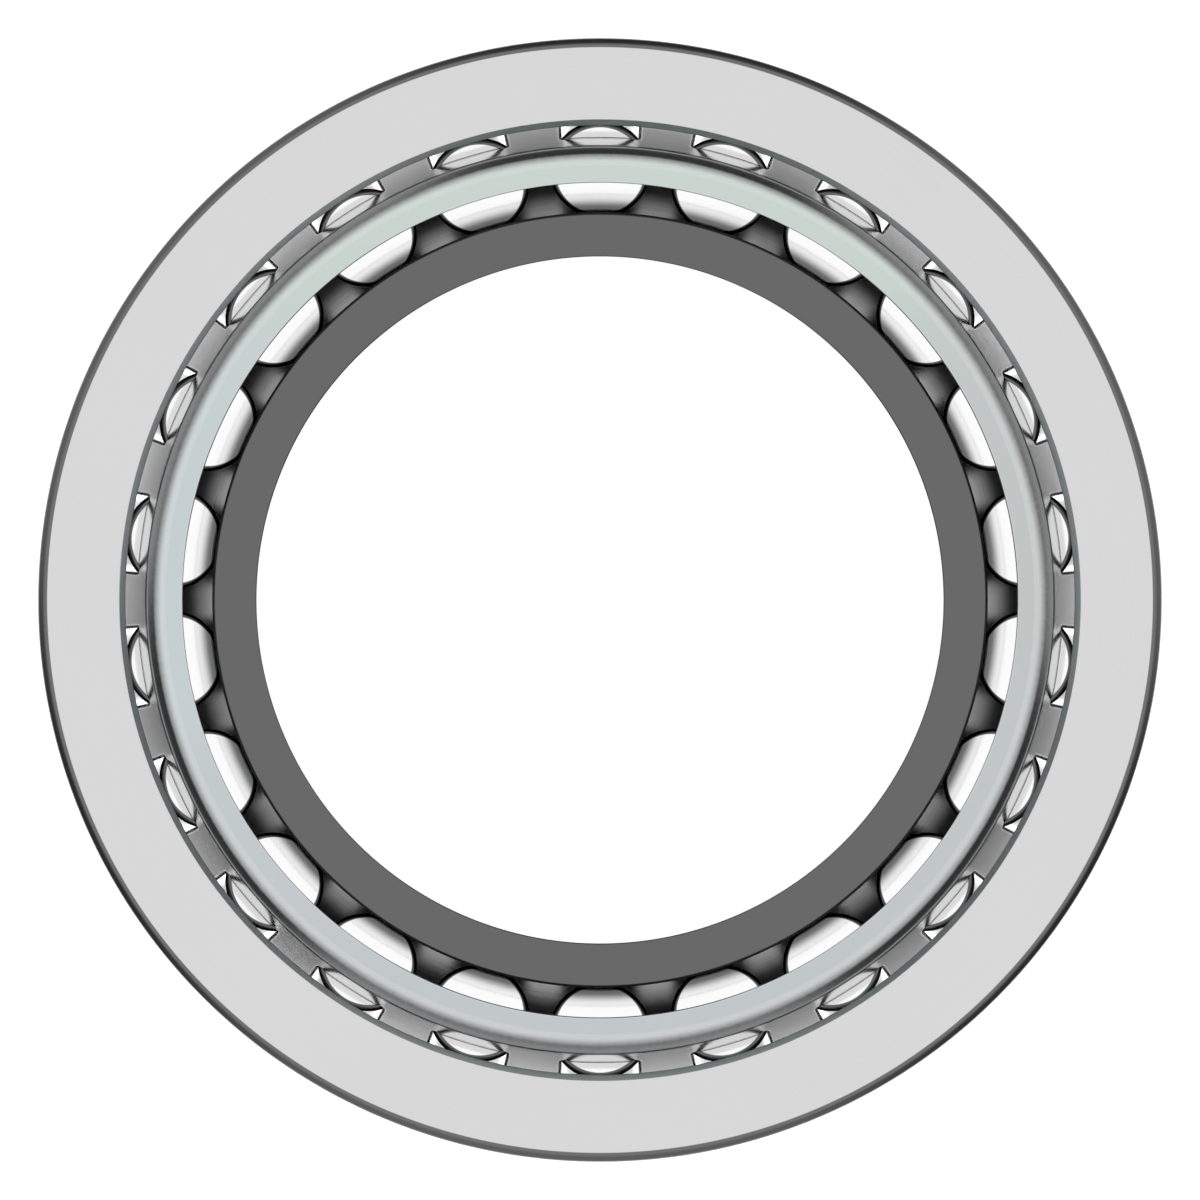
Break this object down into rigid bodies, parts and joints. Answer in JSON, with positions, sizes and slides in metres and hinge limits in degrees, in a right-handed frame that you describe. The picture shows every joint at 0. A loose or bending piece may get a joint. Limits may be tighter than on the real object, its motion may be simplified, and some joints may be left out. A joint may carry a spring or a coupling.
{
  "type": "tapered roller bearing",
  "caption": "Single-row tapered roller bearing: ribbed inner ring, conical rollers in a pressed steel cage, and a plain conical outer ring that lifts off.",
  "frame": {"origin": "centre of the inner ring's back face, on the bearing axis; the bearing lies on this face", "axes": "+Z along the bearing axis, towards the rollers' small ends and the outer ring's back face; one roller's axis lies in the +Y half of the YZ plane"},
  "size_m": [0.09, 0.09, 0.024],
  "materials": {
    "outer_ring_steel": "fine ground bearing steel, light grey, satin faces",
    "inner_ring_steel": "fine ground bearing steel, dark grey, satin faces",
    "cage_steel": "pressed sheet steel, smooth and glossy, with a faint green-grey cast",
    "roller_steel": "superfinished bearing steel, near mirror"
  },
  "bodies": {
    "outer_ring": {"outer_ring": "outer_ring_steel"},
    "inner_ring": {"inner_ring": "inner_ring_steel"},
    "cage": {"cage": "cage_steel"},
    "roller_01": {"roller_01": "roller_steel"},
    "roller_02": {"roller_02": "roller_steel"},
    "roller_03": {"roller_03": "roller_steel"},
    "roller_04": {"roller_04": "roller_steel"},
    "roller_05": {"roller_05": "roller_steel"},
    "roller_06": {"roller_06": "roller_steel"},
    "roller_07": {"roller_07": "roller_steel"},
    "roller_08": {"roller_08": "roller_steel"},
    "roller_09": {"roller_09": "roller_steel"},
    "roller_10": {"roller_10": "roller_steel"},
    "roller_11": {"roller_11": "roller_steel"},
    "roller_12": {"roller_12": "roller_steel"},
    "roller_13": {"roller_13": "roller_steel"},
    "roller_14": {"roller_14": "roller_steel"},
    "roller_15": {"roller_15": "roller_steel"},
    "roller_16": {"roller_16": "roller_steel"},
    "roller_17": {"roller_17": "roller_steel"},
    "roller_18": {"roller_18": "roller_steel"},
    "roller_19": {"roller_19": "roller_steel"},
    "roller_20": {"roller_20": "roller_steel"},
    "roller_21": {"roller_21": "roller_steel"},
    "roller_22": {"roller_22": "roller_steel"}
  },
  "joints": [
    {"name": "inner_ring_spin", "type": "hinge", "parent": "outer_ring", "child": "inner_ring", "pos_m": [0, 0, 0], "axis": [0, 0, 1], "continuous": true},
    {"name": "cage_spin", "type": "hinge", "parent": "outer_ring", "child": "cage", "pos_m": [0, 0, 0.0125], "axis": [0, 0, 1], "continuous": true},
    {"name": "roller_01_spin", "type": "hinge", "parent": "cage", "child": "roller_01", "pos_m": [0, 0.03619, 0.01278], "axis": [0, -0.2334, 0.9724], "continuous": true},
    {"name": "roller_02_spin", "type": "hinge", "parent": "cage", "child": "roller_02", "pos_m": [0.0102, 0.03472, 0.01278], "axis": [-0.0658, -0.224, 0.9724], "continuous": true},
    {"name": "roller_03_spin", "type": "hinge", "parent": "cage", "child": "roller_03", "pos_m": [0.01957, 0.03044, 0.01278], "axis": [-0.1262, -0.1964, 0.9724], "continuous": true},
    {"name": "roller_04_spin", "type": "hinge", "parent": "cage", "child": "roller_04", "pos_m": [0.02735, 0.0237, 0.01278], "axis": [-0.1764, -0.1529, 0.9724], "continuous": true},
    {"name": "roller_05_spin", "type": "hinge", "parent": "cage", "child": "roller_05", "pos_m": [0.03292, 0.01503, 0.01278], "axis": [-0.2123, -0.097, 0.9724], "continuous": true},
    {"name": "roller_06_spin", "type": "hinge", "parent": "cage", "child": "roller_06", "pos_m": [0.03582, 0.00515, 0.01278], "axis": [-0.2311, -0.0332, 0.9724], "continuous": true},
    {"name": "roller_07_spin", "type": "hinge", "parent": "cage", "child": "roller_07", "pos_m": [0.03582, -0.00515, 0.01278], "axis": [-0.2311, 0.0332, 0.9724], "continuous": true},
    {"name": "roller_08_spin", "type": "hinge", "parent": "cage", "child": "roller_08", "pos_m": [0.03292, -0.01503, 0.01278], "axis": [-0.2123, 0.097, 0.9724], "continuous": true},
    {"name": "roller_09_spin", "type": "hinge", "parent": "cage", "child": "roller_09", "pos_m": [0.02735, -0.0237, 0.01278], "axis": [-0.1764, 0.1529, 0.9724], "continuous": true},
    {"name": "roller_10_spin", "type": "hinge", "parent": "cage", "child": "roller_10", "pos_m": [0.01957, -0.03044, 0.01278], "axis": [-0.1262, 0.1964, 0.9724], "continuous": true},
    {"name": "roller_11_spin", "type": "hinge", "parent": "cage", "child": "roller_11", "pos_m": [0.0102, -0.03472, 0.01278], "axis": [-0.0658, 0.224, 0.9724], "continuous": true},
    {"name": "roller_12_spin", "type": "hinge", "parent": "cage", "child": "roller_12", "pos_m": [0, -0.03619, 0.01278], "axis": [0, 0.2334, 0.9724], "continuous": true},
    {"name": "roller_13_spin", "type": "hinge", "parent": "cage", "child": "roller_13", "pos_m": [-0.0102, -0.03472, 0.01278], "axis": [0.0658, 0.224, 0.9724], "continuous": true},
    {"name": "roller_14_spin", "type": "hinge", "parent": "cage", "child": "roller_14", "pos_m": [-0.01957, -0.03044, 0.01278], "axis": [0.1262, 0.1964, 0.9724], "continuous": true},
    {"name": "roller_15_spin", "type": "hinge", "parent": "cage", "child": "roller_15", "pos_m": [-0.02735, -0.0237, 0.01278], "axis": [0.1764, 0.1529, 0.9724], "continuous": true},
    {"name": "roller_16_spin", "type": "hinge", "parent": "cage", "child": "roller_16", "pos_m": [-0.03292, -0.01503, 0.01278], "axis": [0.2123, 0.097, 0.9724], "continuous": true},
    {"name": "roller_17_spin", "type": "hinge", "parent": "cage", "child": "roller_17", "pos_m": [-0.03582, -0.00515, 0.01278], "axis": [0.2311, 0.0332, 0.9724], "continuous": true},
    {"name": "roller_18_spin", "type": "hinge", "parent": "cage", "child": "roller_18", "pos_m": [-0.03582, 0.00515, 0.01278], "axis": [0.2311, -0.0332, 0.9724], "continuous": true},
    {"name": "roller_19_spin", "type": "hinge", "parent": "cage", "child": "roller_19", "pos_m": [-0.03292, 0.01503, 0.01278], "axis": [0.2123, -0.097, 0.9724], "continuous": true},
    {"name": "roller_20_spin", "type": "hinge", "parent": "cage", "child": "roller_20", "pos_m": [-0.02735, 0.0237, 0.01278], "axis": [0.1764, -0.1529, 0.9724], "continuous": true},
    {"name": "roller_21_spin", "type": "hinge", "parent": "cage", "child": "roller_21", "pos_m": [-0.01957, 0.03044, 0.01278], "axis": [0.1262, -0.1964, 0.9724], "continuous": true},
    {"name": "roller_22_spin", "type": "hinge", "parent": "cage", "child": "roller_22", "pos_m": [-0.0102, 0.03472, 0.01278], "axis": [0.0658, -0.224, 0.9724], "continuous": true}
  ],
  "couplings": [
    {"joint": "cage_spin", "follows": "inner_ring_spin", "ratio": 0.44343},
    {"joint": "roller_01_spin", "follows": "inner_ring_spin", "ratio": -4.2423},
    {"joint": "roller_02_spin", "follows": "inner_ring_spin", "ratio": -4.2423},
    {"joint": "roller_03_spin", "follows": "inner_ring_spin", "ratio": -4.2423},
    {"joint": "roller_04_spin", "follows": "inner_ring_spin", "ratio": -4.2423},
    {"joint": "roller_05_spin", "follows": "inner_ring_spin", "ratio": -4.2423},
    {"joint": "roller_06_spin", "follows": "inner_ring_spin", "ratio": -4.2423},
    {"joint": "roller_07_spin", "follows": "inner_ring_spin", "ratio": -4.2423},
    {"joint": "roller_08_spin", "follows": "inner_ring_spin", "ratio": -4.2423},
    {"joint": "roller_09_spin", "follows": "inner_ring_spin", "ratio": -4.2423},
    {"joint": "roller_10_spin", "follows": "inner_ring_spin", "ratio": -4.2423},
    {"joint": "roller_11_spin", "follows": "inner_ring_spin", "ratio": -4.2423},
    {"joint": "roller_12_spin", "follows": "inner_ring_spin", "ratio": -4.2423},
    {"joint": "roller_13_spin", "follows": "inner_ring_spin", "ratio": -4.2423},
    {"joint": "roller_14_spin", "follows": "inner_ring_spin", "ratio": -4.2423},
    {"joint": "roller_15_spin", "follows": "inner_ring_spin", "ratio": -4.2423},
    {"joint": "roller_16_spin", "follows": "inner_ring_spin", "ratio": -4.2423},
    {"joint": "roller_17_spin", "follows": "inner_ring_spin", "ratio": -4.2423},
    {"joint": "roller_18_spin", "follows": "inner_ring_spin", "ratio": -4.2423},
    {"joint": "roller_19_spin", "follows": "inner_ring_spin", "ratio": -4.2423},
    {"joint": "roller_20_spin", "follows": "inner_ring_spin", "ratio": -4.2423},
    {"joint": "roller_21_spin", "follows": "inner_ring_spin", "ratio": -4.2423},
    {"joint": "roller_22_spin", "follows": "inner_ring_spin", "ratio": -4.2423}
  ]
}
